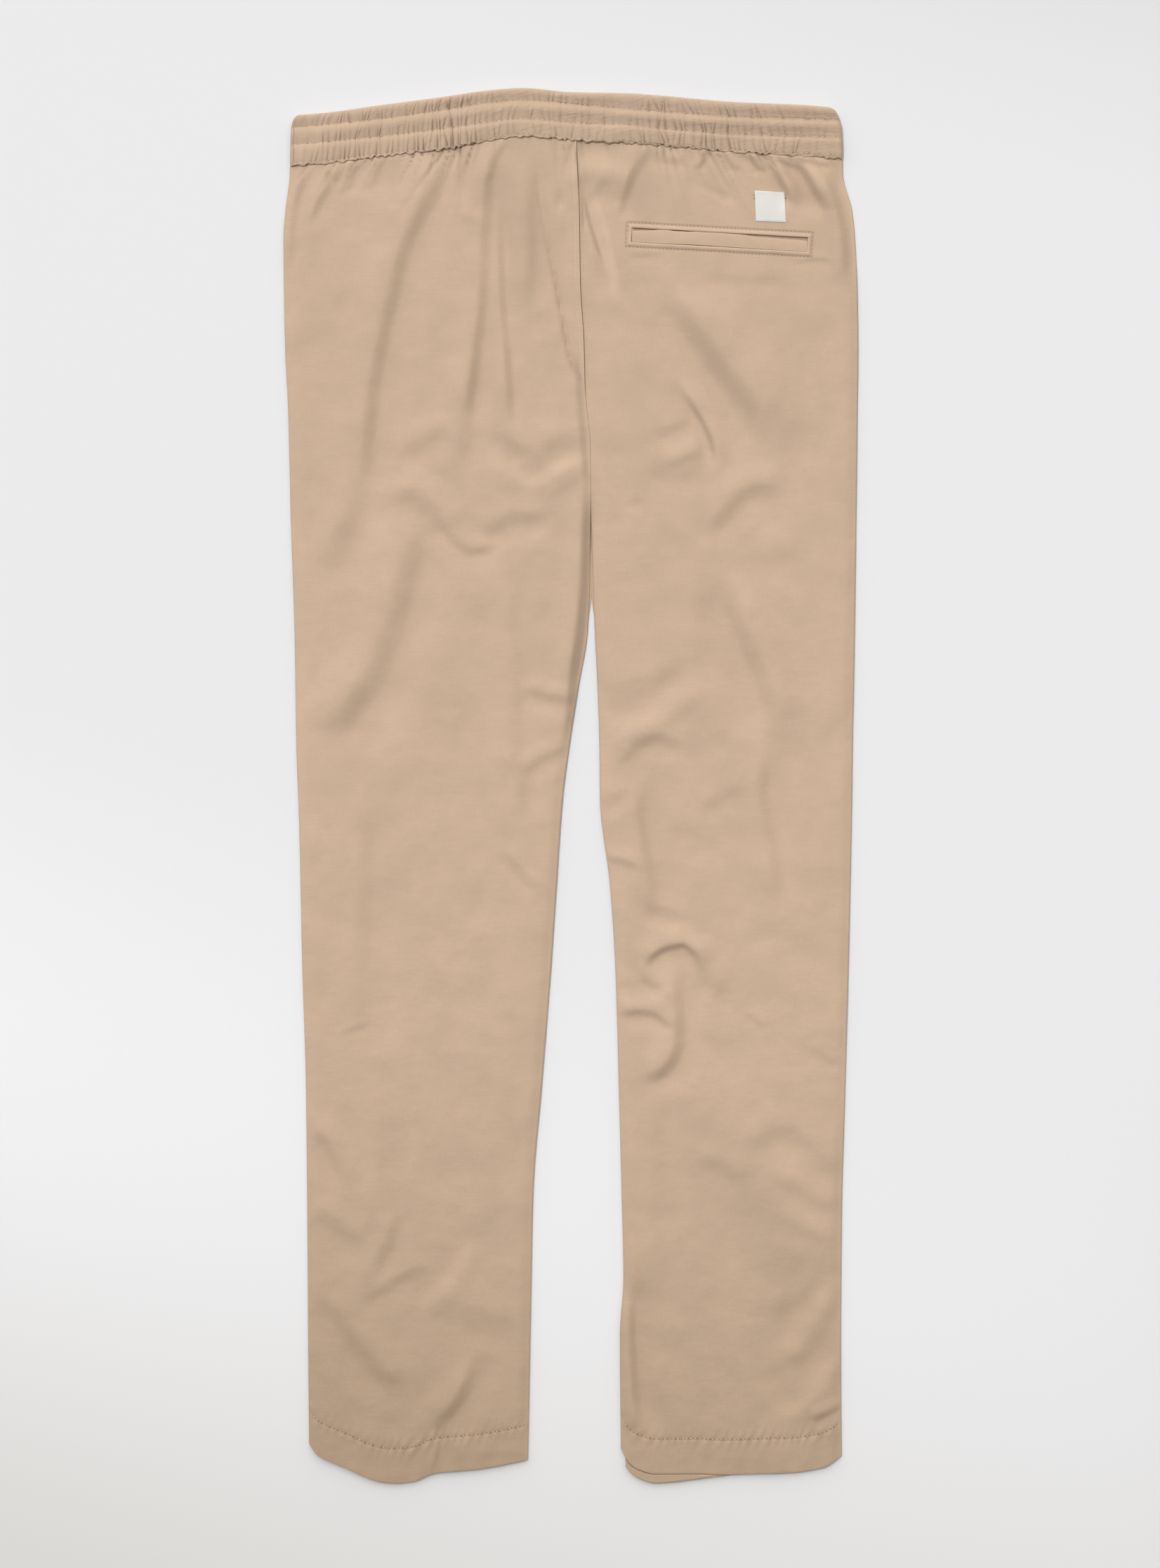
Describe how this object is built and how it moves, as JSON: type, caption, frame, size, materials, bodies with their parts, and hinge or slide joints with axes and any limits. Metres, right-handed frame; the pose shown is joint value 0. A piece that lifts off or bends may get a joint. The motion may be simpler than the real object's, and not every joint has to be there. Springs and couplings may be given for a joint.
{
  "type": "pull-on trousers",
  "caption": "Long straight-leg cotton trousers with a gathered elastic waistband, laid flat with the back and its welt pocket uppermost.",
  "frame": {"origin": "on the surface that the garment lies on, under the middle of its outline", "axes": "+X across the garment to the wearer's right, +Y up it from the hems to the waist, +Z up from the surface to the back side of the garment"},
  "size_m": [0.458, 1.111, 0.0087],
  "materials": {
    "twill": "matt khaki cotton twill with a fine level slub",
    "waistband_twill": "the same twill, gathered over elastic in stitched channels",
    "label_tape": "plain off-white woven tape, blank"
  },
  "bodies": {
    "root": {"back_left": "twill", "back_right": "twill", "front_left": "twill", "front_right": "twill", "waistband": "waistband_twill", "back_pocket_welt": "twill", "label": "label_tape"}
  },
  "joints": []
}
